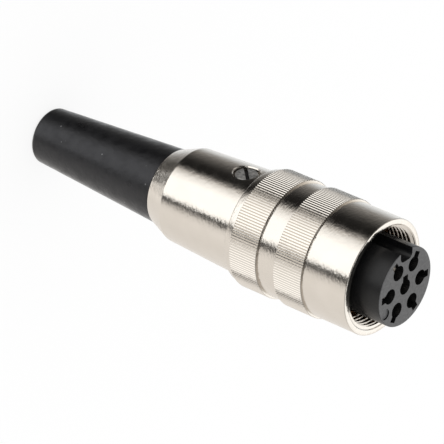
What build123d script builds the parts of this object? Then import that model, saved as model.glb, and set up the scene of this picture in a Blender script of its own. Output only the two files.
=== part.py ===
from build123d import *
from math import cos, radians, sin
import os

os.makedirs("parts", exist_ok=True)

# A round seven-pole screw-locking cable socket, standing on the free end of its bend relief.
# +Z runs along the axis from the cable end to the contact face, and +Y through the keyway.
# All sizes are in millimetres.

# Bend relief
relief_reach = 24.7
relief_tip_radius = 4.4
relief_root_radius = 5.95
relief_end_round = 0.8
relief_neck_radius = 4.9
relief_collar_radius = 5.7
relief_collar_length = 2.2
relief_fit = 0.15
cable_radius = 2.5
cable_clearance = 0.1
cable_bore_edge = 0.2
cable_lead_in = 1.0

# Rear shell
shell_cone_length = 3.6
shell_body_length = 13.2
shell_wall = 1.17
shell_taper = 0.7
shell_rear_step = 0.05
shell_lip_length = 1.6
shell_seat_relief = 0.9
shell_bore_taper = 1.8
shell_fit = 0.1
shell_edge = 0.2

# Coupling ring
ring_gap = 0.2
ring_rear_length = 1.35
ring_rear_chamfer = 0.35
rear_knurl_length = 4.9
groove_length = 3.25
front_knurl_length = 5.05
nose_length = 7.75
ring_wall = 0.84
groove_depth = 0.05
knurl_rise = 0.3
knurl_depth = 0.11
knurl_crown = 0.01
knurl_teeth = 140
ring_rim_width = 0.7
thread_depth = 0.41
thread_length = 4.4
undercut_depth = 0.1
ring_float = 4.2
ring_running_clearance = 0.1
ring_edge = 0.2

# Carrier made of two shield halves, turned to pass inside the coupling thread
flange_clearance = 0.2
flange_step = 0.55
flange_thickness = 2.0
carrier_wall = 0.85
carrier_length = 16.2
carrier_seat_step = 0.75
saddle_ear_margin = 0.2
saddle_clearance = 0.4
saddle_gap = 0.8

# Contact insert and its retainer
insert_reach = 4.0
insert_shoulder = 0.2
insert_edge = 0.15
insert_body_length = 15.8
insert_neck_step = 0.5
insert_foot_wall = 0.9
insert_foot_length = 2.7
insert_fit = 0.05
keyway_width = 2.75
keyway_depth = 1.75
keyway_length = 12.0
keyway_corner = 0.85
dimple_radius = 0.85
dimple_inset = 1.0
dimple_angle = 210.0
dimple_depth = 0.2
retainer_thickness = 1.8

# Contact cavities and contacts
contact_count = 6
contact_circle_radius = 3.55
cavity_radius = 1.175
cavity_slot_depth = 12.0
cavity_clearance = 0.175
pin_bore_radius = 0.6
pin_lead_in = 0.25
pin_bore_depth = 9.0
contact_recess = 1.2
contact_slit_width = 0.25
contact_slit_length = 5.0
contact_collar_radius = 1.45
contact_collar_length = 1.0
contact_collar_fit = 0.05
tail_radius = 0.85
tail_fit = 0.1
tail_length = 5.0
cup_bore_radius = 0.5
cup_depth = 3.0
cup_opening = 2.2
spring_width = 0.8
spring_side_gap = 0.175
spring_clearance = 0.25
spring_thickness = 0.22
spring_lift = 0.45
spring_foot = 9.0
spring_bend = 1.5
spring_tip_drop = 0.8

# Shell screw
shell_screw_setback = 2.8
shell_screw_head_radius = 1.75
shell_screw_head_height = 1.0
shell_screw_shank_radius = 1.25
shell_screw_reach = 2.3
shell_screw_slot_turn = 45.0
shell_screw_hole_gap = 0.25
screw_seat_depth = 0.25
screw_boss_radius = 2.3
screw_boss_depth = 2.6
screw_slot_width = 0.55
screw_slot_depth = 0.6
screw_edge = 0.18
tapping_clearance = 0.05

# Cable clamp and its screws
clamp_length = 4.0
clamp_setback = 0.8
clamp_strap = 0.7
clamp_ear_thickness = 0.9
clamp_ear_end = 1.3
clamp_head_gap = 0.05
clamp_screw_head_radius = 1.35
clamp_screw_head_height = 0.85
clamp_screw_shank_radius = 0.8
clamp_screw_reach = 3.0
clamp_screw_slot_width = 0.4
clamp_screw_slot_depth = 0.35
clamp_hole_gap = 0.15

# Heights along the axis, from the free end of the bend relief
shell_rear_z = relief_reach
shell_cone_z = shell_rear_z + shell_cone_length
shell_front_z = shell_cone_z + shell_body_length
ring_rear_z = shell_front_z + ring_gap
rear_knurl_z = ring_rear_z + ring_rear_length
groove_z = rear_knurl_z + rear_knurl_length
front_knurl_z = groove_z + groove_length
nose_z = front_knurl_z + front_knurl_length
ring_front_z = nose_z + nose_length
face_z = ring_front_z + insert_reach
flange_front_z = face_z - insert_body_length
flange_rear_z = flange_front_z - flange_thickness
foot_rear_z = flange_rear_z - insert_foot_length
retainer_rear_z = foot_rear_z - retainer_thickness
carrier_rear_z = flange_front_z - carrier_length
collar_front_z = flange_rear_z - ring_float
thread_rear_z = ring_front_z - thread_length
relief_neck_z = shell_rear_z + shell_lip_length
relief_top_z = relief_neck_z + relief_collar_length
saddle_rear_z = relief_top_z + saddle_gap
clamp_rear_z = saddle_rear_z + clamp_setback
contact_tip_z = face_z - contact_recess
contact_collar_z = foot_rear_z + contact_collar_length
tail_rear_z = foot_rear_z - tail_length
shell_screw_z = shell_front_z - shell_screw_setback

# Radii of the nested pieces, from the contacts outwards
sleeve_radius = cavity_radius - cavity_clearance
spring_radius = sleeve_radius + spring_lift
cavity_slot_width = spring_width + 2 * spring_side_gap
cavity_slot_reach = spring_radius + spring_thickness + spring_clearance
collar_seat_radius = contact_collar_radius + contact_collar_fit
foot_radius = contact_circle_radius + collar_seat_radius + insert_foot_wall
insert_radius = foot_radius + insert_shoulder
dimple_circle_radius = insert_radius - dimple_inset
neck_radius = foot_radius - insert_neck_step
neck_bore_radius = neck_radius + insert_fit
foot_bore_radius = foot_radius + insert_fit
carrier_rear_bore_radius = foot_radius - carrier_seat_step
carrier_radius = foot_bore_radius + carrier_wall
flange_radius = carrier_radius + flange_step
thread_minor_radius = flange_radius + flange_clearance
undercut_radius = thread_minor_radius + thread_depth + undercut_depth
nose_radius = undercut_radius + ring_wall
groove_radius = nose_radius - groove_depth
knurl_radius = nose_radius + knurl_rise
mouth_radius = nose_radius - ring_rim_width
collar_bore_radius = carrier_radius + ring_running_clearance
screw_seat_y = carrier_radius - screw_seat_depth

# Radii around the cable, and of the shell that closes over it
cable_bore_radius = cable_radius + cable_clearance
clamp_screw_offset = cable_bore_radius + clamp_strap + clamp_head_gap + clamp_screw_head_radius
clamp_ear_reach = clamp_screw_offset + clamp_ear_end
saddle_radius = clamp_ear_reach + saddle_ear_margin
shell_bore_radius = carrier_radius + shell_fit
shell_front_radius = shell_bore_radius + shell_wall
shell_waist_radius = shell_front_radius - shell_taper
shell_rear_radius = relief_root_radius + shell_rear_step
shell_rear_bore_radius = saddle_radius + saddle_clearance
shell_lip_radius = relief_neck_radius + relief_fit
shell_seat_radius = relief_collar_radius + relief_fit


def half_section(outline):
    """Closed outline of (radius, height) corners, ready to be revolved about the main axis."""
    with BuildSketch(Plane.XZ) as section:
        with BuildLine():
            Polyline(*outline, close=True)
        make_face()
    return section.sketch


# Bend relief: a tapered rubber sleeve whose grooved root grips the lip of the shell
with BuildPart() as bend_relief:
    revolve(half_section([
        (cable_bore_radius + cable_bore_edge, 0),
        (relief_tip_radius, 0),
        (relief_root_radius, shell_rear_z),
        (relief_neck_radius, shell_rear_z),
        (relief_neck_radius, relief_neck_z),
        (relief_collar_radius, relief_neck_z),
        (relief_collar_radius, relief_top_z),
        (cable_bore_radius + cable_lead_in, relief_top_z),
        (cable_bore_radius, relief_top_z - cable_lead_in),
        (cable_bore_radius, cable_bore_edge),
    ]), axis=Axis.Z)
    free_end = bend_relief.edges().filter_by(GeomType.CIRCLE).group_by(Axis.Z)[0]
    fillet(free_end.sort_by(SortBy.RADIUS)[-1], relief_end_round)
bend_relief.part.label = "bend_relief"

# Rear shell: a turned sleeve, tapered, with a cone and an inner lip at its rear end
with BuildPart() as rear_shell:
    revolve(half_section([
        (shell_lip_radius, shell_rear_z),
        (shell_rear_radius, shell_rear_z),
        (shell_waist_radius, shell_cone_z),
        (shell_front_radius, shell_front_z - shell_edge),
        (shell_front_radius - shell_edge, shell_front_z),
        (shell_bore_radius, shell_front_z),
        (shell_bore_radius, carrier_rear_z - saddle_clearance),
        (shell_rear_bore_radius, carrier_rear_z - saddle_clearance),
        (shell_rear_bore_radius, relief_neck_z + shell_seat_relief + shell_bore_taper),
        (shell_seat_radius, relief_neck_z + shell_seat_relief),
        (shell_seat_radius, relief_neck_z),
        (shell_lip_radius, relief_neck_z),
    ]), axis=Axis.Z)
    with BuildSketch(Plane(origin=(0, 0, shell_screw_z), x_dir=(1, 0, 0), z_dir=(0, 1, 0))):
        Circle(shell_screw_head_radius + shell_screw_hole_gap)
    extrude(amount=shell_front_radius, mode=Mode.SUBTRACT)
rear_shell.part.label = "rear_shell"


def knurl_outline(start_z):
    """Ring of straight teeth with low crowned tops and pointed roots, drawn across the axis."""
    shoulder = knurl_radius - knurl_crown
    tooth = (knurl_radius, shoulder, knurl_radius - knurl_depth, shoulder)
    teeth = []
    for index in range(len(tooth) * knurl_teeth):
        radius = tooth[index % len(tooth)]
        turned = radians(360 * index / (len(tooth) * knurl_teeth))
        teeth.append((radius * cos(turned), radius * sin(turned)))
    with BuildSketch(Plane.XY.offset(start_z)) as outline:
        with BuildLine():
            Polyline(*teeth, close=True)
        make_face()
        Circle(undercut_radius, mode=Mode.SUBTRACT)
    return outline.sketch


# Coupling ring: turned, knurled in two bands, with the thread in its mouth and a collar behind
with BuildPart() as coupling_ring:
    revolve(half_section([
        (collar_bore_radius, ring_rear_z),
        (nose_radius - ring_rear_chamfer, ring_rear_z),
        (nose_radius, rear_knurl_z),
        (nose_radius, groove_z),
        (groove_radius, groove_z),
        (groove_radius, front_knurl_z),
        (nose_radius, front_knurl_z),
        (nose_radius, ring_front_z - ring_edge),
        (nose_radius - ring_edge, ring_front_z),
        (mouth_radius, ring_front_z),
        (thread_minor_radius, ring_front_z - (mouth_radius - thread_minor_radius)),
        (thread_minor_radius, thread_rear_z),
        (undercut_radius, thread_rear_z),
        (undercut_radius, collar_front_z),
        (collar_bore_radius, collar_front_z),
    ]), axis=Axis.Z)
    extrude(knurl_outline(rear_knurl_z), amount=rear_knurl_length)
    extrude(knurl_outline(front_knurl_z), amount=front_knurl_length)
coupling_ring.part.label = "coupling_ring"


def carrier_wall_section():
    """Half section of the carrier, shared by its two halves."""
    return half_section([
        (carrier_rear_bore_radius, carrier_rear_z),
        (carrier_radius, carrier_rear_z),
        (carrier_radius, flange_rear_z),
        (flange_radius, flange_rear_z),
        (flange_radius, flange_front_z),
        (neck_bore_radius, flange_front_z),
        (neck_bore_radius, flange_rear_z),
        (foot_bore_radius, flange_rear_z),
        (foot_bore_radius, retainer_rear_z),
        (carrier_rear_bore_radius, retainer_rear_z),
    ])


screw_seat = Plane(origin=(0, screw_seat_y, shell_screw_z), x_dir=(1, 0, 0), z_dir=(0, 1, 0))

# Upper shield half: carries the tapped boss that holds the rear shell
with BuildPart() as shield_half_top:
    revolve(carrier_wall_section(), axis=Axis.Z, revolution_arc=180)
    with BuildSketch(screw_seat.offset(-screw_boss_depth)):
        Circle(screw_boss_radius)
    extrude(amount=(screw_boss_depth + screw_seat_y - carrier_rear_bore_radius) / 2)
    with BuildSketch(screw_seat):
        Circle(shell_screw_head_radius + shell_screw_hole_gap)
    extrude(amount=carrier_radius, mode=Mode.SUBTRACT)
    with BuildSketch(screw_seat):
        Circle(shell_screw_shank_radius + tapping_clearance)
    extrude(amount=-carrier_radius, mode=Mode.SUBTRACT)
shield_half_top.part.label = "shield_half_top"

# Lower shield half: its rear end is the saddle under the cable
clamp_middle_z = clamp_rear_z + clamp_length / 2
clamp_screw_places = [(-clamp_screw_offset, clamp_middle_z), (clamp_screw_offset, clamp_middle_z)]
with BuildPart() as shield_half_bottom:
    revolve(carrier_wall_section(), axis=Axis.Z, revolution_arc=-180)
    with BuildSketch(Plane.XY.offset(saddle_rear_z)):
        Circle(saddle_radius)
        Circle(cable_bore_radius, mode=Mode.SUBTRACT)
        split(bisect_by=Plane.XZ, keep=Keep.TOP)
    extrude(amount=carrier_rear_z - saddle_rear_z)
    with BuildSketch(Plane.XZ):
        with Locations(*clamp_screw_places):
            Circle(clamp_screw_shank_radius + tapping_clearance)
    extrude(amount=clamp_screw_reach, mode=Mode.SUBTRACT)
shield_half_bottom.part.label = "shield_half_bottom"

# Cable clamp: a strap bent over the cable, with a flat ear at each side
with BuildPart() as cable_clamp:
    with BuildSketch(Plane.XY.offset(clamp_rear_z)):
        Circle(cable_bore_radius + clamp_strap)
        Rectangle(2 * clamp_ear_reach, 2 * clamp_ear_thickness)
        Circle(cable_bore_radius, mode=Mode.SUBTRACT)
        split(bisect_by=Plane.XZ, keep=Keep.BOTTOM)
    extrude(amount=clamp_length)
    with BuildSketch(Plane.XZ):
        with Locations(*clamp_screw_places):
            Circle(clamp_screw_shank_radius + clamp_hole_gap)
    extrude(amount=-clamp_ear_thickness, mode=Mode.SUBTRACT)
cable_clamp.part.label = "cable_clamp"


def slotted_screw(seat, head_radius, head_height, shank_radius, reach, slot_width, slot_depth, turn):
    """Cheese-head screw whose head stands on the seat plane and whose shank runs below it."""
    with BuildPart() as screw:
        with BuildSketch(seat):
            Circle(head_radius)
        extrude(amount=head_height)
        head_rim = screw.faces().sort_by(Axis(seat.origin, seat.z_dir))[-1].edges()
        chamfer(head_rim, screw_edge)
        with BuildSketch(seat.offset(head_height)):
            Rectangle(3 * head_radius, slot_width, rotation=turn)
        extrude(amount=-slot_depth, mode=Mode.SUBTRACT)
        with BuildSketch(seat):
            Circle(shank_radius)
        extrude(amount=-reach)
    return screw


shell_screw = slotted_screw(
    screw_seat, shell_screw_head_radius, shell_screw_head_height, shell_screw_shank_radius,
    shell_screw_reach, screw_slot_width, screw_slot_depth, shell_screw_slot_turn)
shell_screw.part.label = "shell_screw"

clamp_screws = {}
for side, (x, z) in zip(("left", "right"), clamp_screw_places):
    clamp_seat = Plane(origin=(x, clamp_ear_thickness, z), x_dir=(1, 0, 0), z_dir=(0, 1, 0))
    clamp_screws[side] = slotted_screw(
        clamp_seat, clamp_screw_head_radius, clamp_screw_head_height, clamp_screw_shank_radius,
        clamp_screw_reach + clamp_ear_thickness - clamp_hole_gap, clamp_screw_slot_width,
        clamp_screw_slot_depth, shell_screw_slot_turn)
    clamp_screws[side].part.label = "clamp_screw_" + side

# Places of the contacts, and the way each one's slot points
contact_places = {"centre": (0.0, 0.0, 90.0)}
for index in range(contact_count):
    angle = 360 * index / contact_count
    x = contact_circle_radius * cos(radians(angle))
    y = contact_circle_radius * sin(radians(angle))
    contact_places[str(index + 1)] = (x, y, angle)


def round_holes(radius):
    """Draw one round hole at every contact."""
    with Locations(*[(x, y) for x, y, angle in contact_places.values()]):
        Circle(radius)


# Contact insert: one moulding with a keyway, seven keyhole cavities and a foot behind its neck
with BuildPart() as contact_insert:
    revolve(half_section([
        (0, foot_rear_z),
        (foot_radius, foot_rear_z),
        (foot_radius, flange_rear_z),
        (neck_radius, flange_rear_z),
        (neck_radius, flange_front_z),
        (insert_radius, flange_front_z),
        (insert_radius, face_z - insert_edge),
        (insert_radius - insert_edge, face_z),
        (0, face_z),
    ]), axis=Axis.Z)
    with BuildSketch(Plane.XY.offset(face_z)) as keyway:
        with Locations((0, insert_radius)):
            Rectangle(keyway_width, 2 * keyway_depth)
        fillet(keyway.vertices().group_by(Axis.Y)[0], keyway_corner)
    extrude(amount=-keyway_length, mode=Mode.SUBTRACT)
    with BuildSketch(Plane.XY.offset(face_z)):
        for x, y, angle in contact_places.values():
            with Locations(Location((x, y, 0), (0, 0, angle))):
                Rectangle(cavity_slot_reach, cavity_slot_width, align=(Align.MIN, Align.CENTER))
    extrude(amount=-cavity_slot_depth, mode=Mode.SUBTRACT)
    with BuildSketch(Plane.XY.offset(face_z)):
        round_holes(cavity_radius)
    extrude(amount=foot_rear_z - face_z, mode=Mode.SUBTRACT)
    with BuildSketch(Plane.XY.offset(foot_rear_z)):
        round_holes(collar_seat_radius)
    extrude(amount=contact_collar_length, mode=Mode.SUBTRACT)
    with BuildSketch(Plane.XY.offset(face_z)):
        with PolarLocations(dimple_circle_radius, 1, start_angle=dimple_angle):
            Circle(dimple_radius)
    extrude(amount=-dimple_depth, mode=Mode.SUBTRACT)
contact_insert.part.label = "contact_insert"

# Contact retainer: the disc behind the insert that keeps the contact collars in place
with BuildPart() as contact_retainer:
    with BuildSketch(Plane.XY.offset(retainer_rear_z)):
        Circle(foot_radius)
    extrude(amount=retainer_thickness)
    with BuildSketch(Plane.XY.offset(retainer_rear_z)):
        round_holes(tail_radius + tail_fit)
    extrude(amount=retainer_thickness, mode=Mode.SUBTRACT)
contact_retainer.part.label = "contact_retainer"


def socket_contact(x, y, angle):
    """Slit sleeve for a pin, with a leaf spring in the cavity's slot and a solder cup behind."""
    outward = (cos(radians(angle)), sin(radians(angle)), 0)
    along_slot = Plane(origin=(x, y, 0), x_dir=outward, z_dir=(outward[1], -outward[0], 0))
    spring_foot_z = contact_tip_z - spring_foot
    spring_root_radius = sleeve_radius - spring_thickness
    with BuildPart() as contact:
        with BuildSketch(along_slot):
            with BuildLine():
                Polyline(
                    (0, tail_rear_z + cup_depth),
                    (cup_bore_radius, tail_rear_z + cup_depth),
                    (cup_bore_radius, tail_rear_z),
                    (tail_radius, tail_rear_z),
                    (tail_radius, foot_rear_z),
                    (contact_collar_radius, foot_rear_z),
                    (contact_collar_radius, contact_collar_z),
                    (sleeve_radius, contact_collar_z),
                    (sleeve_radius, contact_tip_z),
                    (pin_bore_radius + pin_lead_in, contact_tip_z),
                    (pin_bore_radius, contact_tip_z - pin_lead_in),
                    (pin_bore_radius, contact_tip_z - pin_bore_depth),
                    (0, contact_tip_z - pin_bore_depth),
                    close=True,
                )
            make_face()
        revolve(axis=Axis((x, y, 0), (0, 0, 1)))
        with BuildSketch(Plane.XY.offset(contact_tip_z)):
            with Locations(Location((x, y, 0), (0, 0, angle))):
                Rectangle(contact_slit_width, 3 * sleeve_radius)
        extrude(amount=-contact_slit_length, mode=Mode.SUBTRACT)
        with BuildSketch(Plane.XY.offset(tail_rear_z)):
            with Locations(Location((x, y, 0), (0, 0, angle))):
                Rectangle(2 * tail_radius, 2 * tail_radius, align=(Align.MIN, Align.CENTER))
        extrude(amount=cup_opening, mode=Mode.SUBTRACT)
        with BuildSketch(along_slot):
            with BuildLine():
                Polyline(
                    (spring_root_radius, spring_foot_z),
                    (sleeve_radius, spring_foot_z),
                    (spring_radius + spring_thickness, spring_foot_z + spring_bend),
                    (spring_radius + spring_thickness, contact_tip_z - spring_tip_drop - spring_bend),
                    (sleeve_radius + spring_thickness, contact_tip_z - spring_tip_drop),
                    (sleeve_radius, contact_tip_z - spring_tip_drop),
                    (spring_radius, contact_tip_z - spring_tip_drop - spring_bend),
                    (spring_radius, spring_foot_z + spring_bend),
                    (spring_root_radius, spring_foot_z + spring_thickness),
                    close=True,
                )
            make_face()
        extrude(amount=spring_width / 2, both=True)
    return contact


contacts = {}
for name, (x, y, angle) in contact_places.items():
    contacts[name] = socket_contact(x, y, angle)
    contacts[name].part.label = "contact_" + name

pieces = [
    bend_relief, rear_shell, coupling_ring, shield_half_top, shield_half_bottom, cable_clamp,
    shell_screw, contact_insert, contact_retainer, *clamp_screws.values(), *contacts.values(),
]
for piece in pieces:
    export_step(piece.part, "parts/" + piece.part.label + ".step")
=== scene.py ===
# %% [markdown]
# The din socket, dressed for the camera
#
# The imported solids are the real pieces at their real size. This lesson loads them, and then models
# again the pieces that the eye lingers on: the knurled ring with its thread, the turned shell,
# the moulded insert, the screw and the rubber sleeve. The inner pieces keep their solids and
# only get a finish. Everything is in metres, and the part stands on its cable end with +Z up.

# %% Load the solids
from math import atan2, cos, hypot, pi, radians, sin

import bpy
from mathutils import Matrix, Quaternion, Vector


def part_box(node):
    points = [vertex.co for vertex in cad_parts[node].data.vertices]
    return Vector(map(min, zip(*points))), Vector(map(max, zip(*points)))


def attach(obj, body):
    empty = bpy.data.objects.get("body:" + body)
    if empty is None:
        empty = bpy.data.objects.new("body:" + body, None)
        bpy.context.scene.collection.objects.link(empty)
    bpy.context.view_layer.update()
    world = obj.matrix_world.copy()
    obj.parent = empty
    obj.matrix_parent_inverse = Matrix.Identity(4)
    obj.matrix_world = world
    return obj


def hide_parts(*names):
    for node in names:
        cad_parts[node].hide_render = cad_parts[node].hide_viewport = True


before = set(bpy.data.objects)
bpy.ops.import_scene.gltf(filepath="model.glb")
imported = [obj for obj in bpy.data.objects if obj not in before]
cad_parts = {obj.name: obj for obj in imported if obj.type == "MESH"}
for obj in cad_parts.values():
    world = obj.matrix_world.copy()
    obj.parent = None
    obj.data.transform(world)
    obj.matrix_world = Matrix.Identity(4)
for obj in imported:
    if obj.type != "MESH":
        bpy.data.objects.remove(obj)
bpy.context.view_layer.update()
mm = 0.001

# %% [markdown]
# Camera
#
# The photograph looks down on the part from the side of its contact face, through a long lens,
# and the camera is rolled far over, so that the standing part lies slantwise across the picture.
# The camera could be typed in as a matrix, but a point to look at, a distance, two angles and
# a roll are easier to read and to change.

# %% Camera
LOOK_AT = Vector((-1.101, -1.454, 35.119)) * mm
CAMERA_DISTANCE = 530.376 * mm
CAMERA_AZIMUTH = radians(142.865)
CAMERA_HEIGHT_ANGLE = radians(32.747)
CAMERA_ROLL = radians(113.335)
LENS = 291.37
SENSOR = 36.0
CLIP = (0.05, 20.0)

towards_camera = Vector((
    cos(CAMERA_HEIGHT_ANGLE) * cos(CAMERA_AZIMUTH),
    cos(CAMERA_HEIGHT_ANGLE) * sin(CAMERA_AZIMUTH),
    sin(CAMERA_HEIGHT_ANGLE),
))
camera_data = bpy.data.cameras.new("camera")
camera_data.lens = LENS
camera_data.sensor_width = SENSOR
camera_data.clip_start, camera_data.clip_end = CLIP
camera = bpy.data.objects.new("camera", camera_data)
bpy.context.scene.collection.objects.link(camera)
camera.location = LOOK_AT + CAMERA_DISTANCE * towards_camera
camera.rotation_mode = "QUATERNION"
upright = (-towards_camera).to_track_quat("-Z", "Y")
camera.rotation_quaternion = upright @ Quaternion((0, 0, 1), CAMERA_ROLL)
bpy.context.scene.camera = camera
bpy.context.scene.view_settings.view_transform = "Standard"
print("the camera's up is", (camera.rotation_quaternion @ Vector((0, 1, 0))).to_tuple(4))

# %% [markdown]
# Floor
#
# A white table under the part. The backdrop is pure white, so for the eye the table is mostly
# made of plain white light, and the rest is white paint that keeps a faint shade beside the part.
# The polished metal is meant to mirror the light tent and not the table top, so the floor is
# kept out of its reflections.

# %% A new node


def new_node(tree, kind, **settings):
    """Adds one shader node to a tree and sets its properties."""
    node = tree.nodes.new(kind)
    for name, value in settings.items():
        setattr(node, name, value)
    return node


# %% Floor
FLOOR_SIZE = 6.0
FLOOR_GLOW = 0.84
WHITE = (1.0, 1.0, 1.0, 1.0)

bpy.ops.object.select_all(action="DESELECT")
bpy.ops.mesh.primitive_plane_add(size=FLOOR_SIZE, location=(0, 0, 0))
floor = bpy.context.object
floor.name = "floor"
floor.visible_glossy = False
floor_paint = bpy.data.materials.new("floor_paint")
floor_paint.use_nodes = True
floor_tree = floor_paint.node_tree
floor_tree.nodes.remove(floor_tree.nodes["Principled BSDF"])
floor_shader = new_node(floor_tree, "ShaderNodeBsdfDiffuse")
floor_shader.inputs["Color"].default_value = WHITE
floor_light = new_node(floor_tree, "ShaderNodeEmission")
floor_light.inputs["Strength"].default_value = 1.0
floor_ray = new_node(floor_tree, "ShaderNodeLightPath")
seen = new_node(floor_tree, "ShaderNodeMath", operation="MAXIMUM")
seen_through = new_node(floor_tree, "ShaderNodeMath", operation="MAXIMUM")
glow = new_node(floor_tree, "ShaderNodeMath", operation="MULTIPLY")
glow.inputs[1].default_value = FLOOR_GLOW
floor_mix = new_node(floor_tree, "ShaderNodeMixShader")
for output, socket in (
    (floor_ray.outputs["Is Camera Ray"], seen.inputs[0]),
    (floor_ray.outputs["Is Glossy Ray"], seen.inputs[1]),
    (seen.outputs["Value"], seen_through.inputs[0]),
    (floor_ray.outputs["Is Transmission Ray"], seen_through.inputs[1]),
    (seen_through.outputs["Value"], glow.inputs[0]),
    (glow.outputs["Value"], floor_mix.inputs["Fac"]),
    (floor_shader.outputs["BSDF"], floor_mix.inputs[1]),
    (floor_light.outputs["Emission"], floor_mix.inputs[2]),
    (floor_mix.outputs["Shader"], floor_tree.nodes["Material Output"].inputs["Surface"]),
):
    floor_tree.links.new(output, socket)
floor.data.materials.append(floor_paint)
print("the floor is", FLOOR_SIZE, "m wide")

# %% [markdown]
# Light
#
# The real part was lit in a white tent, and its polish is a map of that tent. Going round the
# upright axis there is a pale wall that dims away to black, a bright soft lamp, and a thin dark
# seam. Below, the lamp ends in a soft shade. Above, the tent is bright on the camera's side and
# dimmer beside it. Lamps and cards could stand in for each of them, but a sky in three belts,
# each with its own strip of light and shade by compass angle, does the same for the whole part
# at once. The walls are cream, but cool on the far side, and the lamp is white. Matt surfaces
# see an even white sky, so that colours come out as they are written.

# %% The three belts of the tent
LOW_BELT = (
    (-180, 0.85), (-150, 1.08), (-120, 1.00), (-88, 0.78), (-60, 0.90), (-20, 0.95), (3, 0.74),
    (18, 0.58), (34, 0.36), (51, 0.13), (66, 0.03), (86, 0.01), (105, 0.03), (130, 0.12),
    (150, 0.25), (165, 0.45), (180, 0.85),
)
MIDDLE_BELT = (
    (-180, 0.20), (-177, 0.50), (-171, 0.84), (-160, 0.97), (-120, 0.90), (-60, 0.90), (-37, 0.97),
    (-14, 0.96), (1, 0.72), (17, 0.31), (33, 0.155), (49, 0.060), (62, 0.018), (83, 0.012),
    (90, 0.22), (96, 0.80), (105, 1.15), (120, 1.50), (162, 1.50), (168, 1.20), (170, 0.12),
    (173, 0.025), (177, 0.07), (180, 0.20),
)
HIGH_BELT = (
    (-180, 0.10), (-130, 0.55), (-75, 0.60), (-56, 1.15), (-42, 1.35), (-10, 1.35), (20, 0.85),
    (45, 0.30), (70, 0.03), (172, 0.03), (180, 0.10),
)
BELTS = (LOW_BELT, MIDDLE_BELT, HIGH_BELT)
BRIGHTEST = 1.6
LAMP_WHITE = Vector((1.0, 1.0, 0.99))
CREAM = Vector((1.0, 0.965, 0.925))
COOL_WHITE = Vector((0.97, 1.0, 1.02))
COOL_SIDE = (-35, 15)
WALL_LEVEL = 1.1
BELT_EDGES = {"low": (-0.944, -0.928), "high": (0.34, 0.46), "top": (0.93, 0.985)}
SKY_STRENGTH = 1.0

world = bpy.data.worlds.new("light_tent")
bpy.context.scene.world = world
world.use_nodes = True
sky = world.node_tree
sky.nodes.clear()


def belt(stops, compass_angle):
    """Gives the light of one belt, from its (angle in degrees, level) stops."""
    strip = new_node(sky, "ShaderNodeValToRGB")
    for index, (angle, level) in enumerate(stops):
        place = (angle + 180) / 360
        marks = strip.color_ramp.elements
        mark = marks[index] if index < 2 else marks.new(place)
        mark.position = place
        wall = COOL_WHITE if COOL_SIDE[0] < angle < COOL_SIDE[1] else CREAM
        tint = wall if level < WALL_LEVEL else LAMP_WHITE
        mark.color = (*(tint * level / BRIGHTEST), 1)
    sky.links.new(compass_angle, strip.inputs["Fac"])
    return strip.outputs["Color"]


def blend_belts(below, above, height, edges):
    """Goes softly from one belt to the one above it, between two heights."""
    step = new_node(sky, "ShaderNodeMapRange", interpolation_type="SMOOTHSTEP")
    step.inputs["From Min"].default_value = edges[0]
    step.inputs["From Max"].default_value = edges[1]
    sky.links.new(height, step.inputs["Value"])
    blend = new_node(sky, "ShaderNodeMix", data_type="RGBA")
    sky.links.new(step.outputs["Result"], blend.inputs["Factor"])
    sky.links.new(below, blend.inputs["A"])
    if above is None:
        blend.inputs["B"].default_value = (*[1 / BRIGHTEST] * 3, 1)
    else:
        sky.links.new(above, blend.inputs["B"])
    return blend.outputs["Result"]


# %% Light
direction = new_node(sky, "ShaderNodeTexCoord")
split = new_node(sky, "ShaderNodeSeparateXYZ")
compass = new_node(sky, "ShaderNodeMath", operation="ARCTAN2")
turn = new_node(sky, "ShaderNodeMapRange")
turn.inputs["From Min"].default_value = -pi
turn.inputs["From Max"].default_value = pi
sky.links.new(direction.outputs["Generated"], split.inputs["Vector"])
sky.links.new(split.outputs["Y"], compass.inputs[0])
sky.links.new(split.outputs["X"], compass.inputs[1])
sky.links.new(compass.outputs["Value"], turn.inputs["Value"])
low, middle, high = (belt(stops, turn.outputs["Result"]) for stops in BELTS)
tent = blend_belts(low, middle, split.outputs["Z"], BELT_EDGES["low"])
tent = blend_belts(tent, high, split.outputs["Z"], BELT_EDGES["high"])
tent = blend_belts(tent, None, split.outputs["Z"], BELT_EDGES["top"])

tent_light = new_node(sky, "ShaderNodeBackground")
tent_light.inputs["Strength"].default_value = BRIGHTEST
plain_light = new_node(sky, "ShaderNodeBackground")
plain_light.inputs["Color"].default_value = WHITE
plain_light.inputs["Strength"].default_value = SKY_STRENGTH
ray = new_node(sky, "ShaderNodeLightPath")
choice = new_node(sky, "ShaderNodeMixShader")
out = new_node(sky, "ShaderNodeOutputWorld")
sky.links.new(tent, tent_light.inputs["Color"])
sky.links.new(ray.outputs["Is Glossy Ray"], choice.inputs["Fac"])
sky.links.new(plain_light.outputs["Background"], choice.inputs[1])
sky.links.new(tent_light.outputs["Background"], choice.inputs[2])
sky.links.new(choice.outputs["Shader"], out.inputs["Surface"])
print("the belts have", [len(stops) for stops in BELTS], "stops of light")

# %% [markdown]
# Finishes
#
# Every finish starts from the Principled shader. A colour or a number that is the same all over
# is set on the shader itself. What varies, such as the grain of the plating or the specks on the
# rubber, comes from noise read at the place on the piece, in metres, so one scale fits all.
# Noise seldom leaves the middle of its 0 to 1, so that middle is what gets spread.

# %% A new finish
NOISE_SPREAD = (0.3, 0.7)


def finish(name, colour, metallic, roughness):
    """Makes a material whose shader has these settings, and gives it with its shader."""
    paint = bpy.data.materials.new(name)
    paint.use_nodes = True
    shader = paint.node_tree.nodes["Principled BSDF"]
    shader.inputs["Base Color"].default_value = (*colour, 1)
    shader.inputs["Metallic"].default_value = metallic
    shader.inputs["Roughness"].default_value = roughness
    return paint, shader


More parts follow.
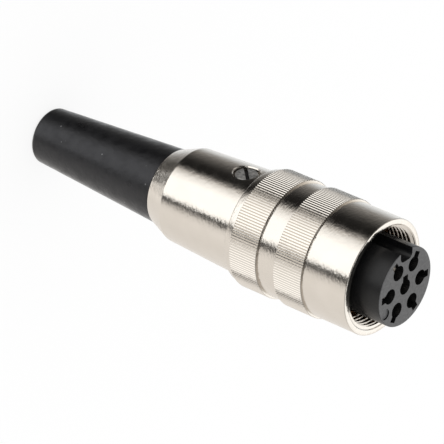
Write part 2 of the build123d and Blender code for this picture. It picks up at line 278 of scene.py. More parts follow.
def place_on_piece(paint, stretch):
    """Gives the place on the piece, in metres, stretched along each axis."""
    place = new_node(paint.node_tree, "ShaderNodeTexCoord")
    mapping = new_node(paint.node_tree, "ShaderNodeMapping")
    mapping.inputs["Scale"].default_value = stretch
    paint.node_tree.links.new(place.outputs["Object"], mapping.inputs["Vector"])
    return mapping.outputs["Vector"]


def noise(paint, scale, detail=2.0, stretch=(1, 1, 1)):
    """Adds noise that is read from the place on the piece, and gives its 0 to 1 output."""
    texture = new_node(paint.node_tree, "ShaderNodeTexNoise")
    texture.inputs["Scale"].default_value = scale
    texture.inputs["Detail"].default_value = detail
    paint.node_tree.links.new(place_on_piece(paint, stretch), texture.inputs["Vector"])
    return texture.outputs["Fac"]


def vary(paint, shader, socket, factor, low, high):
    """Lets a number of the shader move between two values, over the spread of the noise."""
    spread = new_node(paint.node_tree, "ShaderNodeMapRange")
    spread.inputs["From Min"].default_value = NOISE_SPREAD[0]
    spread.inputs["From Max"].default_value = NOISE_SPREAD[1]
    spread.inputs["To Min"].default_value = low
    spread.inputs["To Max"].default_value = high
    paint.node_tree.links.new(factor, spread.inputs["Value"])
    paint.node_tree.links.new(spread.outputs["Result"], shader.inputs[socket])


def vary_colour(paint, shader, factor, dark, light):
    """Lets the colour move between two shades, over the spread of the noise."""
    ramp = new_node(paint.node_tree, "ShaderNodeValToRGB")
    for mark, position, shade in zip(ramp.color_ramp.elements, NOISE_SPREAD, (dark, light)):
        mark.position = position
        mark.color = (*shade, 1)
    paint.node_tree.links.new(factor, ramp.inputs["Fac"])
    paint.node_tree.links.new(ramp.outputs["Color"], shader.inputs["Base Color"])


def grain(paint, shader, factor, height):
    """Turns the factor into bumps of this height, in metres."""
    bump = new_node(paint.node_tree, "ShaderNodeBump")
    bump.inputs["Distance"].default_value = height
    paint.node_tree.links.new(factor, bump.inputs["Height"])
    paint.node_tree.links.new(bump.outputs["Normal"], shader.inputs["Normal"])


# %% [markdown]
# Satin nickel
#
# The ring and the shell are turned brass under satin nickel: a warm pale grey whose mirror image
# is soft. The turning left very fine lines round the part, and they show as short streaks where
# light meets dark. They are a shallow bump from noise that is squeezed along the axis. In the seams
# of the knurl the colour darkens by distance from the axis, a painted shade for the deep seams.
# Deep inside the ring the plating is thin, and the brass shows through as a brown tint.

# %% Satin nickel
NICKEL = (0.770, 0.728, 0.672)
NICKEL_DULL = (0.735, 0.692, 0.635)
nickel, nickel_shader = finish("satin_nickel", NICKEL, 1.0, 0.17)
vary_colour(nickel, nickel_shader, noise(nickel, 240, 4.0), NICKEL_DULL, NICKEL)

# Painted shade: the knurl's colour darkens towards the bottom of its seams.
SEAM_PAINTED_SHADE = (0.46, 0.43, 0.39)
SEAM_SHADE_DEPTHS = (0.14 * mm, 0.03 * mm)
tooth_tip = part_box("coupling_ring")[1].x
knurled, knurled_shader = finish("knurled_nickel_painted_seam_shade", NICKEL, 1.0, 0.17)
off_axis = new_node(knurled.node_tree, "ShaderNodeVectorMath", operation="LENGTH")
rise = new_node(knurled.node_tree, "ShaderNodeMapRange")
rise.inputs["From Min"].default_value = tooth_tip - SEAM_SHADE_DEPTHS[0]
rise.inputs["From Max"].default_value = tooth_tip - SEAM_SHADE_DEPTHS[1]
knurled.node_tree.links.new(place_on_piece(knurled, (1, 1, 0)), off_axis.inputs[0])
knurled.node_tree.links.new(off_axis.outputs["Value"], rise.inputs["Value"])
vary_colour(knurled, knurled_shader, rise.outputs["Result"], SEAM_PAINTED_SHADE, NICKEL)

for paint, shader in ((nickel, nickel_shader), (knurled, knurled_shader)):
    vary(paint, shader, "Roughness", noise(paint, 700, 3.0), 0.11, 0.19)
    grain(paint, shader, noise(paint, 1500, 3.0, stretch=(1, 1, 3.5)), 0.035 * mm)

BRASS_DARK = (0.68, 0.36, 0.17)
BRASS_LIGHT = (0.90, 0.60, 0.38)
thin_plate, plate_shader = finish("thin_plate_over_brass", (0.80, 0.48, 0.26), 0.3, 0.40)
vary_colour(thin_plate, plate_shader, noise(thin_plate, 500, 3.0), BRASS_DARK, BRASS_LIGHT)
vary(thin_plate, plate_shader, "Roughness", noise(thin_plate, 1200, 2.0), 0.25, 0.40)
print("made", nickel.name, knurled.name, "and", thin_plate.name)

# %% [markdown]
# Rubber
#
# The sleeve is soft black rubber. It is nearly black where it mirrors the dark of the tent, and
# has a broad soft sheen on the lamp's side. Handling has left faint dull patches and a few specks
# of dust, which are the middles of the cells of a Voronoi pattern, kept for half the cells.

# %% Rubber
BLACK = (0.0055, 0.0055, 0.0062)
DUST_GREY = (0.13, 0.13, 0.13)
DUST_CELLS = 600.0
DUST_SIZE = 0.08
DUST_SHARE = 0.5

rubber, rubber_shader = finish("black_rubber", BLACK, 0.0, 0.38)
vary(rubber, rubber_shader, "Roughness", noise(rubber, 600, 6.0), 0.27, 0.50)
grain(rubber, rubber_shader, noise(rubber, 1500, 5.0), 0.035 * mm)
rubber_shader.inputs["Specular Tint"].default_value = (0.94, 0.945, 1.0, 1)
rubber_shader.inputs["Sheen Weight"].default_value = 0.7
rubber_shader.inputs["Sheen Roughness"].default_value = 0.25

tree = rubber.node_tree
place = new_node(tree, "ShaderNodeTexCoord")
cells = new_node(tree, "ShaderNodeTexVoronoi")
cells.inputs["Scale"].default_value = DUST_CELLS
near = new_node(tree, "ShaderNodeMath", operation="LESS_THAN")
near.inputs[1].default_value = DUST_SIZE
chosen = new_node(tree, "ShaderNodeMath", operation="GREATER_THAN")
chosen.inputs[1].default_value = 1 - DUST_SHARE
parts = new_node(tree, "ShaderNodeSeparateXYZ")
both = new_node(tree, "ShaderNodeMath", operation="MULTIPLY")
dust = new_node(tree, "ShaderNodeValToRGB")
dust.color_ramp.elements[0].color = (*BLACK, 1)
dust.color_ramp.elements[1].color = (*DUST_GREY, 1)
for output, socket in (
    (place.outputs["Object"], cells.inputs["Vector"]),
    (cells.outputs["Distance"], near.inputs[0]),
    (cells.outputs["Color"], parts.inputs["Vector"]),
    (parts.outputs["X"], chosen.inputs[0]),
    (near.outputs["Value"], both.inputs[0]),
    (chosen.outputs["Value"], both.inputs[1]),
    (both.outputs["Value"], dust.inputs["Fac"]),
    (dust.outputs["Color"], rubber_shader.inputs["Base Color"]),
):
    tree.links.new(output, socket)
print("made", rubber.name)

# %% [markdown]
# The other finishes
#
# The insert is black moulded plastic, shiny on its sides and matt on its rough face, whose lighter
# grey is partly its roughness and partly painted light.
# Contacts are silver plated, with the silver darkened as a painted shade for their deep holes.
# The inner metal is dull tin, and the screws are nickel plated steel with a rough driven face and a
# slot painted near black, a painted shade in the slot.

# %% Moulding, contacts and inner metal
moulding, moulding_shader = finish("insert_moulding", (0.006, 0.006, 0.0065), 0.0, 0.36)
vary(moulding, moulding_shader, "Roughness", noise(moulding, 500, 3.0), 0.31, 0.42)
grain(moulding, moulding_shader, noise(moulding, 3500, 2.0), 0.002 * mm)
moulding_shader.inputs["Specular IOR Level"].default_value = 0.34

# Painted light: the face, the same black plastic as the sides, is made a lighter grey for the light
# it catches.
FACE_DARK = (0.058, 0.058, 0.060)
FACE_LIGHT = (0.098, 0.098, 0.100)
face_moulding, face_shader = finish("insert_face_moulding_painted_light", (0.085, 0.085, 0.087), 0.0, 0.48)
vary_colour(face_moulding, face_shader, noise(face_moulding, 2600, 4.0), FACE_DARK, FACE_LIGHT)
grain(face_moulding, face_shader, noise(face_moulding, 5000, 2.0), 0.008 * mm)

# Painted shade: the silver is made darker, for the contacts that sit deep in their holes.
silver, silver_shader = finish("silver_plate_painted_shade", (0.60, 0.56, 0.50), 1.0, 0.30)
vary(silver, silver_shader, "Roughness", noise(silver, 2500, 2.0), 0.22, 0.40)

tin, tin_shader = finish("dull_tin_plate", (0.55, 0.53, 0.50), 1.0, 0.42)
vary(tin, tin_shader, "Roughness", noise(tin, 1500, 3.0), 0.35, 0.50)

SCREW_DARK = (0.10, 0.10, 0.10)
SCREW_LIGHT = (0.42, 0.41, 0.39)
screw_plate, screw_shader = finish("screw_plate", (0.30, 0.29, 0.28), 0.5, 0.40)
vary_colour(screw_plate, screw_shader, noise(screw_plate, 2200, 5.0), SCREW_DARK, SCREW_LIGHT)
vary(screw_plate, screw_shader, "Roughness", noise(screw_plate, 3000, 2.0), 0.33, 0.50)
grain(screw_plate, screw_shader, noise(screw_plate, 2000, 3.0), 0.030 * mm)
# Painted shade: the slot's faces are near black for the shade inside the slot.
screw_slot_shade, screw_slot_shade_shader = finish("screw_slot_painted_shade", (0.02, 0.019, 0.018), 0.0, 0.6)
vary(screw_slot_shade, screw_slot_shade_shader, "Roughness", noise(screw_slot_shade, 3000, 2.0), 0.5, 0.7)
print("made", [m.name for m in (moulding, face_moulding, silver, tin, screw_plate, screw_slot_shade)])

# %% [markdown]
# Finishes on the solids
#
# The pieces that stay as they were packed take their finish by name.

# %% Finishes on the solids
FINISH_OF_NODE = {
    "coupling_ring": nickel, "rear_shell": nickel, "bend_relief": rubber,
    "shield_half_top": tin, "shield_half_bottom": tin, "cable_clamp": tin,
    "clamp_screw_left": screw_plate, "clamp_screw_right": screw_plate, "shell_screw": screw_plate,
    "contact_insert": moulding, "contact_retainer": moulding,
}
for name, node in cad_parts.items():
    node.data.materials.clear()
    node.data.materials.append(FINISH_OF_NODE.get(name, silver))
print("gave a finish to", len(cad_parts), "solids")

# %% [markdown]
# Turning, as on a lathe
#
# Most pieces of this connector are turned. By hand one would add a circle and extrude it along
# the profile, scaling it at each step. The helper does the same walk round an outline of
# (radius, height) corners, in millimetres. Edges are then broken with the bevel tool, one edge
# loop at a time, as a file would on the lathe. Smooth shading alone would bend the mirror image
# beside each bevel, so the normals are weighted by the size of the faces, and the wide ones stay
# true. What isn't round is cut with blocks and cylinders.

# %% Turning helpers
WELD = 0.001
NEAR = 0.004
TOUCH = 0.01
HOLE_STEPS = 96


def only(piece):
    """Selects this piece and nothing else."""
    bpy.ops.object.select_all(action="DESELECT")
    piece.select_set(True)
    bpy.context.view_layer.objects.active = piece


def lathe(name, outline, steps, hollow=True):
    """Extrudes a circle along an outline of (radius, height) corners in millimetres.

    A hollow piece has a closed outline, and its last ring is welded to the first. A bar starts
    from a filled circle and goes up an open outline.
    """
    radius, height = outline[0]
    bpy.ops.object.select_all(action="DESELECT")
    bpy.ops.mesh.primitive_circle_add(
        vertices=steps, radius=radius * mm, fill_type="NOTHING" if hollow else "NGON",
        location=(0, 0, height * mm))
    piece = bpy.context.object
    piece.name = name
    bpy.ops.object.mode_set(mode="EDIT")
    for next_radius, next_height in [*outline[1:], outline[0]] if hollow else outline[1:]:
        move = (0, 0, (next_height - height) * mm)
        bpy.ops.mesh.extrude_region_move(TRANSFORM_OT_translate={"value": move})
        scale = next_radius / radius
        bpy.ops.transform.resize(
            value=(scale, scale, 1), center_override=(0, 0, next_height * mm))
        radius, height = next_radius, next_height
    bpy.ops.mesh.select_all(action="SELECT")
    if hollow:
        bpy.ops.mesh.remove_doubles(threshold=WELD * mm)
    bpy.ops.mesh.normals_make_consistent(inside=False)
    bpy.ops.object.mode_set(mode="OBJECT")
    bpy.ops.object.transform_apply(location=True, rotation=True, scale=True)
    return piece


def break_edges(piece, corners, width, segments=3):
    """Bevels the edge loops that run round at these (radius, height) corners in millimetres."""
    only(piece)
    bpy.ops.object.mode_set(mode="EDIT")
    bpy.ops.mesh.select_mode(type="EDGE")
    bpy.ops.mesh.select_all(action="DESELECT")
    bpy.ops.object.mode_set(mode="OBJECT")
    for edge in piece.data.edges:
        ends = [piece.data.vertices[i].co / mm for i in edge.vertices]
        edge.select = all(
            any(abs(hypot(end.x, end.y) - radius) < NEAR and abs(end.z - height) < NEAR
                for radius, height in corners)
            for end in ends)
    bpy.ops.object.mode_set(mode="EDIT")
    bpy.ops.mesh.bevel(
        offset=width * mm, offset_type="OFFSET", segments=segments, affect="EDGES")
    bpy.ops.object.mode_set(mode="OBJECT")


def apply_modifiers(piece):
    """Applies the piece's modifiers from the first to the last."""
    only(piece)
    for modifier in list(piece.modifiers):
        bpy.ops.object.modifier_apply(modifier=modifier.name)


def cut(piece, cutter, operation="DIFFERENCE"):
    """Cuts a piece with another, which is used up."""
    boolean = piece.modifiers.new("cut", "BOOLEAN")
    boolean.operation = operation
    boolean.solver = "EXACT"
    boolean.object = cutter
    apply_modifiers(piece)
    bpy.data.objects.remove(cutter)


def block(size, centre, turned=0.0):
    """A block of this size in millimetres, turned about +Z by an angle in radians."""
    bpy.ops.object.select_all(action="DESELECT")
    bpy.ops.mesh.primitive_cube_add(size=1)
    piece = bpy.context.object
    piece.scale = Vector(size) * mm
    piece.rotation_euler = (0, 0, turned)
    piece.location = Vector(centre) * mm
    bpy.ops.object.transform_apply(location=True, rotation=True, scale=True)
    return piece


def dress(piece, body, node, slot, *finishes, smooth_under):
    """Smooths a finished piece, gives it its finish, and puts it in the place of its solid."""
    only(piece)
    bpy.ops.object.shade_smooth_by_angle(angle=radians(smooth_under))
    weighted = piece.modifiers.new("weighted", "WEIGHTED_NORMAL")
    weighted.keep_sharp = True
    apply_modifiers(piece)
    for paint in finishes:
        piece.data.materials.append(paint)
    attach(piece, body)
    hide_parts(node)
    print(piece.name, "has", len(piece.data.polygons), "faces")


def paint_where(piece, finish_number, here):
    """Gives the faces whose middle, in millimetres, passes the test another of the finishes."""
    for face in piece.data.polygons:
        if here(face.center / mm, face.normal):
            face.material_index = finish_number


def heights(node):
    """Lowest and highest point of a solid, in millimetres."""
    low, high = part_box(node)
    return low.z / mm, high.z / mm


# %% [markdown]
# Coupling ring
#
# The ring is turned from one bar: a short cone at the rear, two knurled bands with a groove
# between them, a smooth nose, and a mouth with the thread. The knurl has 140 straight teeth with
# low crowned tops. It could be a bump, but it shows in outline, so the ring is turned with four
# steps to each tooth. Columns of corners are then pressed in, and more so the further they are
# from a tooth's tip.

# %% Ring profile
ring_low, ring_high = heights("coupling_ring")
KNURL_TEETH = 140
TOOTH_STEPS = (0.0, 0.010, 0.110)
KNURL_RISE = 0.3
BAND_EDGE = 0.05
STEPS_PER_TOOTH = 2 * (len(TOOTH_STEPS) - 1)
REAR_CONE_LENGTH = 1.35
REAR_CHAMFER = 0.18
GROOVE_DEPTH = 0.05
REAR_BAND_LENGTH = 4.9
GROOVE_LENGTH = 3.25
FRONT_BAND_LENGTH = 5.05
COLLAR_LENGTH = 4.3
RIM_WIDTH = 0.8
RIM_EDGE = 0.2
REAR_EDGE = 0.22
MOUTH_EDGE = 0.05
THREAD_LENGTH = 4.4
THREAD_MINOR = 7.6
THREAD_MAJOR = 8.01
UNDERCUT_RADIUS = 8.11
UNDERCUT_SLOPE = 0.1
COLLAR_BORE = 6.95

knurl_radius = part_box("coupling_ring")[1].x / mm
nose_radius = knurl_radius - KNURL_RISE
groove_radius = nose_radius - GROOVE_DEPTH
rear_rim_radius = nose_radius - REAR_CHAMFER
rear_band = (ring_low + REAR_CONE_LENGTH, ring_low + REAR_CONE_LENGTH + REAR_BAND_LENGTH)
front_band = (rear_band[1] + GROOVE_LENGTH, rear_band[1] + GROOVE_LENGTH + FRONT_BAND_LENGTH)
mouth_radius = nose_radius - RIM_WIDTH
mouth_depth = mouth_radius - THREAD_MAJOR
collar_front = ring_low + COLLAR_LENGTH
thread_low = ring_high - THREAD_LENGTH


def band(low, high):
    """The four outer corners of a knurled band."""
    return [
        (knurl_radius - BAND_EDGE, low), (knurl_radius, low + BAND_EDGE),
        (knurl_radius, high - BAND_EDGE), (knurl_radius - BAND_EDGE, high),
    ]


ring_outline = [
    (COLLAR_BORE, ring_low),
    (rear_rim_radius, ring_low),
    (nose_radius, rear_band[0]),
    *band(*rear_band),
    (groove_radius, rear_band[1]),
    (groove_radius, front_band[0]),
    *band(*front_band),
    (nose_radius, front_band[1]),
    (nose_radius, ring_high),
    (mouth_radius, ring_high),
    (THREAD_MAJOR, ring_high - mouth_depth),
    (THREAD_MAJOR, thread_low),
    (UNDERCUT_RADIUS, thread_low - UNDERCUT_SLOPE),
    (UNDERCUT_RADIUS, collar_front),
    (COLLAR_BORE, collar_front),
]
ring = lathe("coupling_ring_body", ring_outline, STEPS_PER_TOOTH * KNURL_TEETH)
print("turned the ring between", ring_low, "and", ring_high, "mm")

# %% Knurl


def press_columns(piece, steps_off, depth):
    """Presses in the columns of the bands that lie this many steps off the tip of a tooth."""
    only(piece)
    bpy.ops.object.mode_set(mode="EDIT")
    bpy.ops.mesh.select_mode(type="VERT")
    bpy.ops.mesh.select_all(action="DESELECT")
    bpy.ops.object.mode_set(mode="OBJECT")
    column_width = 2 * pi / (STEPS_PER_TOOTH * KNURL_TEETH)
    for vertex in piece.data.vertices:
        column = round(atan2(vertex.co.y, vertex.co.x) / column_width)
        on_band = hypot(vertex.co.x, vertex.co.y) / mm > knurl_radius - 1.5 * BAND_EDGE
        off_tip = min(column % STEPS_PER_TOOTH, -column % STEPS_PER_TOOTH)
        vertex.select = on_band and off_tip == steps_off
    bpy.ops.object.mode_set(mode="EDIT")
    scale = 1 - depth / knurl_radius
    bpy.ops.transform.resize(value=(scale, scale, 1), center_override=(0, 0, 0))
    bpy.ops.object.mode_set(mode="OBJECT")


for steps_off, depth in enumerate(TOOTH_STEPS):
    press_columns(ring, steps_off, depth)
break_edges(ring, [(nose_radius, ring_high)], RIM_EDGE)
break_edges(ring, [(rear_rim_radius, ring_low)], REAR_EDGE)
break_edges(ring, [(mouth_radius, ring_high)], MOUTH_EDGE)
dress(ring, "ring", "coupling_ring", "nickel", nickel, thin_plate, knurled, smooth_under=28)
paint_where(ring, 1, lambda middle, _: (
    hypot(middle.x, middle.y) < UNDERCUT_RADIUS + TOUCH
    and collar_front - TOUCH < middle.z < thread_low))
# The knurled bands take the finish with the painted shade in its seams.
paint_where(ring, 2, lambda middle, _: (
    hypot(middle.x, middle.y) > knurl_radius - KNURL_RISE / 2))

# %% [markdown]
# Coupling thread
#
# The thread in the mouth is a fine one, 16 mm across with a turn every 0.75 mm. It is one ridge
# that climbs round the bore. A small four-sided loop is shaped to the ridge's section, the Screw
# modifier winds it, and the ridge is trimmed by a turned blank with the mouth's own chamfer.

# %% Coupling thread
PITCH = 0.75
CREST_WIDTH = 0.22
ROOT_WIDTH = 0.70
ROOT_SINK = 0.06
CREST_START = 0.20
MOUTH_SINK = 0.02
THREAD_STEPS = 120
THREAD_TURNS = 7
BLANK_MARGIN = (0.02, 0.2)
AXIS = 0.001

first_turn = thread_low - PITCH
bpy.ops.object.select_all(action="DESELECT")
bpy.ops.mesh.primitive_circle_add(vertices=4, radius=ROOT_WIDTH * mm)
thread = bpy.context.object
thread.name = "coupling_ring_thread"
section = (
    (THREAD_MAJOR + ROOT_SINK, -ROOT_WIDTH / 2), (THREAD_MINOR, -CREST_WIDTH / 2),
    (THREAD_MINOR, CREST_WIDTH / 2), (THREAD_MAJOR + ROOT_SINK, ROOT_WIDTH / 2),
)
for vertex, (radius, rise) in zip(thread.data.vertices, section):
    vertex.co = Vector((radius, 0, first_turn + rise)) * mm
winding = thread.modifiers.new("winding", "SCREW")
winding.axis = "Z"
winding.angle = 2 * pi
winding.screw_offset = PITCH * mm
winding.iterations = THREAD_TURNS
winding.steps = THREAD_STEPS
winding.render_steps = THREAD_STEPS
winding.use_smooth_shade = False
apply_modifiers(thread)
bpy.ops.object.mode_set(mode="EDIT")
bpy.ops.mesh.select_all(action="DESELECT")
bpy.ops.mesh.select_mode(type="EDGE")
bpy.ops.mesh.select_non_manifold()
bpy.ops.mesh.fill()
bpy.ops.mesh.select_all(action="SELECT")
bpy.ops.mesh.normals_make_consistent(inside=False)
bpy.ops.object.mode_set(mode="OBJECT")
blank_radius = THREAD_MAJOR + ROOT_SINK + BLANK_MARGIN[0]
blank_crest = THREAD_MINOR - BLANK_MARGIN[1]
blank = lathe("thread_blank", [
    (AXIS, thread_low),
    (blank_radius, thread_low),
    (blank_radius, ring_high - mouth_depth - MOUTH_SINK),
    (blank_crest, ring_high - CREST_START - MOUTH_SINK),
    (AXIS, ring_high - CREST_START - MOUTH_SINK),
], THREAD_STEPS)
cut(thread, blank, "INTERSECT")
dress(thread, "ring", "coupling_ring", "nickel", nickel, smooth_under=20)

# %% [markdown]
# Rear shell
#
# A thin turned sleeve with a cone towards the rubber and a round window for the screw. The window
# is drilled with a cylinder. A bevel there would drag the long faces of the sleeve out of true, so
# the rim is broken with a second cutter, a cone shaped to the sleeve, and it catches the light.

# %% Rear shell
shell_low, shell_high = heights("rear_shell")
shell_front_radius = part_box("rear_shell")[1].x / mm
SHELL_CONE = 3.6
SHELL_TAPER = 0.7
SHELL_WALL = 1.17
SHELL_REAR_RADIUS = 6.0
LIP_RADIUS = 5.05
LIP_LENGTH = 1.6
SEAT_RADIUS = 5.85
SEAT_LENGTH = 0.9
REAR_BORE_RADIUS = 6.6
REAR_BORE_START = 4.3
FRONT_BORE_START = 10.9
SHELL_STEPS = 256
SHELL_EDGE = 0.15
WAIST_EDGE = 0.10
SCREW_SETBACK = 2.8
WINDOW_RADIUS = 2.0
WINDOW_EDGE = 0.16
WINDOW_DRILL = 20
CONE_REACH = {"outward": 1.5 * WINDOW_EDGE, "inward": -2 * WINDOW_EDGE}

lip_top = shell_low + LIP_LENGTH
waist = (shell_front_radius - SHELL_TAPER, shell_low + SHELL_CONE)
front_bore_radius = shell_front_radius - SHELL_WALL
screw_height = shell_high - SCREW_SETBACK
shell = lathe("rear_shell_sleeve", [
    (LIP_RADIUS, shell_low),
    (SHELL_REAR_RADIUS, shell_low),
    waist,
    (shell_front_radius, shell_high),
    (front_bore_radius, shell_high),
    (front_bore_radius, shell_low + FRONT_BORE_START),
    (REAR_BORE_RADIUS, shell_low + FRONT_BORE_START),
    (REAR_BORE_RADIUS, shell_low + REAR_BORE_START),
    (SEAT_RADIUS, lip_top + SEAT_LENGTH),
    (SEAT_RADIUS, lip_top),
    (LIP_RADIUS, lip_top),
], SHELL_STEPS)
shell_ends = [(shell_front_radius, shell_high), (SHELL_REAR_RADIUS, shell_low)]
break_edges(shell, shell_ends, SHELL_EDGE)
break_edges(shell, [waist], WAIST_EDGE)


def sleeve_radius(height):
    """Outer radius of the tapered sleeve at this height, in millimetres."""
    share = (height - waist[1]) / (shell_high - waist[1])
    return waist[0] + (shell_front_radius - waist[0]) * share


def drill_window(piece, height):
    """Drills the window along +Y, from the axis outwards."""
    bpy.ops.object.select_all(action="DESELECT")
    bpy.ops.mesh.primitive_cylinder_add(
        vertices=HOLE_STEPS, radius=WINDOW_RADIUS * mm, depth=WINDOW_DRILL * mm,
        location=(0, WINDOW_DRILL / 2 * mm, height * mm), rotation=(radians(90), 0, 0))
    cut(piece, bpy.context.object)


def countersink_window(piece, height):
    """Breaks the outer rim of the window evenly, with a cone whose rings follow the sleeve."""
    bpy.ops.object.select_all(action="DESELECT")
    bpy.ops.mesh.primitive_cylinder_add(vertices=HOLE_STEPS)
    cone = bpy.context.object
    rim = WINDOW_RADIUS + WINDOW_EDGE
    for vertex in cone.data.vertices:
        angle = atan2(vertex.co.y, vertex.co.x)
        reach = CONE_REACH["outward" if vertex.co.z > 0 else "inward"]
        level = (sleeve_radius(height + rim * sin(angle)) ** 2 - (rim * cos(angle)) ** 2) ** 0.5
        across, along = (rim + reach) * cos(angle), (rim + reach) * sin(angle)
        vertex.co = Vector((across, level + reach, height + along)) * mm
    bpy.ops.object.mode_set(mode="EDIT")
    bpy.ops.mesh.select_all(action="SELECT")
    bpy.ops.mesh.normals_make_consistent(inside=False)
    bpy.ops.object.mode_set(mode="OBJECT")
    cut(piece, cone)


drill_window(shell, screw_height)
countersink_window(shell, screw_height)
dress(shell, "housing", "rear_shell", "nickel", nickel, smooth_under=30)

# %% [markdown]
# Shell screw
#
# The slotted screw that holds the shell sits a little below the rim of its window. It is turned
# standing up as a stepped bar, its slot is cut, and then it is laid over into the window. The
# edges of the head and the slot are broken, since a driver has been in them.

# %% Shell screw
SCREW_HEAD_HEIGHT = 1.0
SCREW_SHANK_RADIUS = 1.25
SCREW_EDGE = 0.18
SLOT_WIDTH = 0.55
SLOT_DEPTH = 0.6
SLOT_TURN = radians(45)

screw_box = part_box("shell_screw")
screw_top = screw_box[1].y / mm
screw_end = screw_box[0].y / mm
screw_head_radius = screw_box[1].x / mm
screw = lathe("shell_screw_turned", [
    (SCREW_SHANK_RADIUS, screw_end),
    (SCREW_SHANK_RADIUS, screw_top - SCREW_HEAD_HEIGHT),
    (screw_head_radius, screw_top - SCREW_HEAD_HEIGHT),
    (screw_head_radius, screw_top),
], HOLE_STEPS, hollow=False)
break_edges(screw, [(screw_head_radius, screw_top)], SCREW_EDGE)
cut(screw, block(
    (3 * screw_head_radius, SLOT_WIDTH, 2 * SLOT_DEPTH), (0, 0, screw_top), turned=SLOT_TURN))
only(screw)
screw.rotation_euler = (radians(-90), 0, 0)
screw.location = (0, 0, screw_height * mm)
bpy.ops.object.transform_apply(location=True, rotation=True, scale=True)
dress(screw, "housing", "shell_screw", "screw_steel", screw_plate, screw_slot_shade, smooth_under=30)
screw_middle = Vector((0, 0, screw_height))
slot_across = Vector((sin(SLOT_TURN), 0, cos(SLOT_TURN)))
# The faces inside the slot take the painted shade.
paint_where(screw, 1, lambda middle, _: (
    screw_top - SLOT_DEPTH - TOUCH < middle.y < screw_top - 2 * TOUCH
    and abs((middle - screw_middle).dot(slot_across)) < SLOT_WIDTH / 2 + TOUCH))

# %% [markdown]
# Contact insert
#
# One black moulding carries the seven contacts. It is turned as a stepped bar, and its openings
# are cut: a keyway with round inner corners, a keyhole for each contact with a seat for its
# collar behind, and a shallow round gate mark. One keyhole is modelled and copied to the seven
# places.

# %% Insert blank
insert_low, insert_high = heights("contact_insert")
INSERT_RADIUS = 6.15
INSERT_EDGE = 0.15
INSERT_NECK = (5.45, 2.0)
INSERT_FOOT = (5.95, 2.7)
INSERT_STEPS = 192
OVERSHOOT = 1.0

neck_low = insert_low + INSERT_FOOT[1]
body_low = neck_low + INSERT_NECK[1]
insert = lathe("contact_insert_moulding", [
    (INSERT_FOOT[0], insert_low),
    (INSERT_FOOT[0], neck_low),
    (INSERT_NECK[0], neck_low),
    (INSERT_NECK[0], body_low),
    (INSERT_RADIUS, body_low),
    (INSERT_RADIUS, insert_high),
], INSERT_STEPS, hollow=False)
break_edges(insert, [(INSERT_RADIUS, insert_high)], INSERT_EDGE)

# %% Keyway
KEYWAY_WIDTH = 2.75
KEYWAY_FLOOR = 4.4
KEYWAY_LENGTH = 12.0
KEYWAY_CORNER = 0.85
KEYWAY_CORNER_STEPS = 8

keyway_reach = INSERT_RADIUS + OVERSHOOT - KEYWAY_FLOOR
keyway = block(
    (KEYWAY_WIDTH, keyway_reach, KEYWAY_LENGTH + OVERSHOOT),
    (0, KEYWAY_FLOOR + keyway_reach / 2, insert_high + (OVERSHOOT - KEYWAY_LENGTH) / 2))
only(keyway)
bpy.ops.object.mode_set(mode="EDIT")
bpy.ops.mesh.select_mode(type="EDGE")
bpy.ops.mesh.select_all(action="DESELECT")
bpy.ops.object.mode_set(mode="OBJECT")
for edge in keyway.data.edges:
    ends = [keyway.data.vertices[i].co / mm for i in edge.vertices]
    on_floor = all(end.y < KEYWAY_FLOOR + TOUCH for end in ends)
    edge.select = on_floor and abs(ends[0].x - ends[1].x) < TOUCH
bpy.ops.object.mode_set(mode="EDIT")
bpy.ops.mesh.bevel(offset=KEYWAY_CORNER * mm, segments=KEYWAY_CORNER_STEPS, affect="EDGES")
bpy.ops.object.mode_set(mode="OBJECT")
cut(insert, keyway)
print("the keyway is", KEYWAY_WIDTH, "mm wide")

# %% Keyholes
CONTACT_CIRCLE = 3.55
CAVITY_RADIUS = 1.175
CAVITY_STEPS = 48
CAVITY_SLOT = {"reach": 1.92, "width": 1.15, "depth": 12.0}
COLLAR_SEAT = {"radius": 1.5, "depth": 1.0}
contact_places = [(0.0, 0.0, radians(90))]
for angle in (radians(60 * index) for index in range(6)):
    contact_places.append((CONTACT_CIRCLE * cos(angle), CONTACT_CIRCLE * sin(angle), angle))


def cavity(radius, low, high):
    """A round cutter on the axis, between two heights in millimetres."""
    bpy.ops.object.select_all(action="DESELECT")
    bpy.ops.mesh.primitive_cylinder_add(
        vertices=CAVITY_STEPS, radius=radius * mm, depth=(high - low) * mm,
        location=(0, 0, (low + high) / 2 * mm))
    bpy.ops.object.transform_apply(location=True, rotation=True, scale=True)
    return bpy.context.object


def copy_to_contacts(cutter):
    """Copies a cutter to every contact, turned as its slot points, and joins the copies."""
    copies = []
    for x, y, turned in contact_places:
        only(cutter)
        bpy.ops.object.duplicate(linked=False)
        copy = bpy.context.object
        copy.rotation_euler = (0, 0, turned)
        copy.location = (x * mm, y * mm, 0)
        bpy.ops.object.transform_apply(location=True, rotation=True, scale=True)
        copies.append(copy)
    bpy.data.objects.remove(cutter)
    bpy.ops.object.select_all(action="DESELECT")
    for copy in copies:
        copy.select_set(True)
    bpy.context.view_layer.objects.active = copies[0]
    bpy.ops.object.join()
    return bpy.context.object


keyhole = cavity(CAVITY_RADIUS, insert_low - OVERSHOOT, insert_high + OVERSHOOT)
cut(keyhole, block(
    (CAVITY_SLOT["reach"], CAVITY_SLOT["width"], CAVITY_SLOT["depth"] + OVERSHOOT),
    (CAVITY_SLOT["reach"] / 2, 0, insert_high + (OVERSHOOT - CAVITY_SLOT["depth"]) / 2)), "UNION")
cut(insert, copy_to_contacts(keyhole))
seat = cavity(COLLAR_SEAT["radius"], insert_low - OVERSHOOT, insert_low + COLLAR_SEAT["depth"])
cut(insert, copy_to_contacts(seat))
print("cut", len(contact_places), "keyholes")

# %% Gate mark and finish
GATE_MARK_RADIUS = 0.85
GATE_MARK_DEPTH = 0.2
GATE_MARK_INSET = 1.0
GATE_MARK_ANGLE = radians(210)
FACE_UP = 0.3

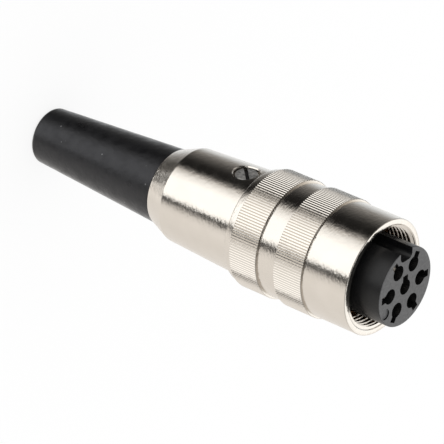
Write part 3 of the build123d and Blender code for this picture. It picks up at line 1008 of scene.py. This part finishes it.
mark = cavity(GATE_MARK_RADIUS, insert_high - GATE_MARK_DEPTH, insert_high + OVERSHOOT)
mark_circle = (INSERT_RADIUS - GATE_MARK_INSET) * mm
mark.location = (mark_circle * cos(GATE_MARK_ANGLE), mark_circle * sin(GATE_MARK_ANGLE), 0)
bpy.ops.object.transform_apply(location=True, rotation=True, scale=True)
cut(insert, mark)
dress(
    insert, "housing", "contact_insert", "insert_moulding", moulding, face_moulding,
    smooth_under=30)
# The faces that point up take the face finish, whose lighter grey is painted light.
paint_where(insert, 1, lambda middle, normal: (
    middle.z > insert_high - INSERT_EDGE - GATE_MARK_DEPTH and normal.z > FACE_UP))

# %% [markdown]
# Bend relief
#
# The rubber sleeve is turned too, as the mould for it was: a long taper with a soft round end,
# the bore for the cable, and behind the shell's lip the neck and collar that hold it.

# %% Bend relief
relief_low, relief_high = heights("bend_relief")
RELIEF_TIP_RADIUS = 4.4
RELIEF_ROOT_RADIUS = 5.95
RELIEF_NECK_RADIUS = 4.9
RELIEF_COLLAR_RADIUS = 5.7
RELIEF_END_ROUND = 0.8
RELIEF_END_STEPS = 10
RELIEF_ROOT_EDGE = 0.10
RELIEF_STEPS = 192
CABLE_BORE_RADIUS = 2.6
CABLE_BORE_EDGE = 0.2
CABLE_LEAD_IN = 1.0

sleeve = lathe("bend_relief_sleeve", [
    (CABLE_BORE_RADIUS + CABLE_BORE_EDGE, relief_low),
    (RELIEF_TIP_RADIUS, relief_low),
    (RELIEF_ROOT_RADIUS, shell_low),
    (RELIEF_NECK_RADIUS, shell_low),
    (RELIEF_NECK_RADIUS, lip_top),
    (RELIEF_COLLAR_RADIUS, lip_top),
    (RELIEF_COLLAR_RADIUS, relief_high),
    (CABLE_BORE_RADIUS + CABLE_LEAD_IN, relief_high),
    (CABLE_BORE_RADIUS, relief_high - CABLE_LEAD_IN),
    (CABLE_BORE_RADIUS, relief_low + CABLE_BORE_EDGE),
], RELIEF_STEPS)
break_edges(
    sleeve, [(RELIEF_TIP_RADIUS, relief_low)], RELIEF_END_ROUND, segments=RELIEF_END_STEPS)
break_edges(sleeve, [(RELIEF_ROOT_RADIUS, shell_low)], RELIEF_ROOT_EDGE)
dress(sleeve, "housing", "bend_relief", "relief_rubber", rubber, smooth_under=40)
